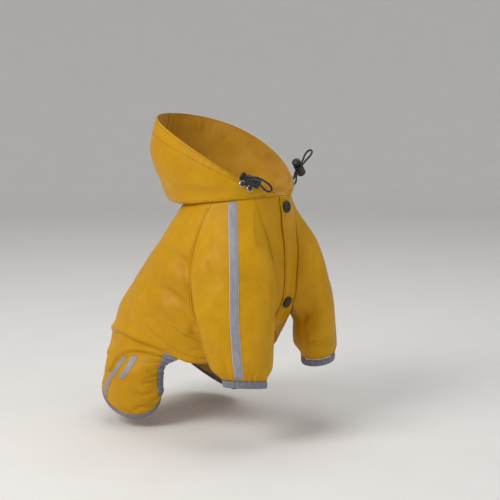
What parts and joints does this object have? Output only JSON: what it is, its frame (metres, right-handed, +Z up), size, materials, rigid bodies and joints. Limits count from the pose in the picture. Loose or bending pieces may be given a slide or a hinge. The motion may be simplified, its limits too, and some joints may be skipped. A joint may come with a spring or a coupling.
{
  "type": "dog raincoat",
  "caption": "Four-legged dog raincoat of coated cloth in its worn hollow shape, with a hood worn back, raglan sleeves, trousers, elastic cuffs, reflective tapes, snaps and cord locks.",
  "frame": {"origin": "inner face of the back panel at the withers, where the wearer holds the coat up", "axes": "+X forward to the chest, +Y to the wearer's left, +Z up"},
  "size_m": [0.2356, 0.1814, 0.3064],
  "materials": {
    "coated_cloth": "smooth polyurethane coating, slightly glossy, mustard yellow",
    "elastic": "matt grey heather elastic",
    "reflective_tape": "silver-grey reflective tape",
    "black_plastic": "satin black",
    "elastic_cord": "braided black elastic cord",
    "steel": "nickel-plated"
  },
  "bodies": {
    "coat": {"back_panel": "coated_cloth", "placket": "coated_cloth", "front_right": "coated_cloth", "front_left": "coated_cloth", "sleeve_right": "coated_cloth", "sleeve_left": "coated_cloth", "sleeve_cuff_right": "elastic", "sleeve_cuff_left": "elastic", "sleeve_tape_right": "reflective_tape", "sleeve_tape_left": "reflective_tape", "trouser_right": "coated_cloth", "trouser_left": "coated_cloth", "leg_binding_right": "elastic", "leg_binding_left": "elastic", "thigh_binding_right": "elastic", "thigh_binding_left": "elastic", "hind_cuff_right": "elastic", "hind_cuff_left": "elastic", "hood_right": "coated_cloth", "hood_left": "coated_cloth", "leg_tape_long_right": "reflective_tape", "leg_tape_long_left": "reflective_tape", "leg_tape_short_right": "reflective_tape", "leg_tape_short_left": "reflective_tape", "snap_1": "black_plastic", "snap_2": "black_plastic", "eyelet_1_right": "steel", "eyelet_2_right": "steel", "eyelet_1_left": "steel", "eyelet_2_left": "steel", "lock_barrel_right": "black_plastic", "lock_barrel_left": "black_plastic", "hood_cord_right": "elastic_cord", "hood_cord_left": "elastic_cord"},
    "plunger_right": {"lock_plunger_right": "black_plastic"},
    "plunger_left": {"lock_plunger_left": "black_plastic"}
  },
  "joints": [
    {"name": "plunger_slide_right", "type": "slide", "parent": "coat", "child": "plunger_right", "axis": [0.7821, 0.442, -0.4393], "range_m": [0, 0.0025], "stiffness_N_per_m": 400, "springref_m": -0.003},
    {"name": "plunger_slide_left", "type": "slide", "parent": "coat", "child": "plunger_left", "axis": [-0.1197, 0.7154, -0.6884], "range_m": [0, 0.0025], "stiffness_N_per_m": 400, "springref_m": -0.003}
  ]
}
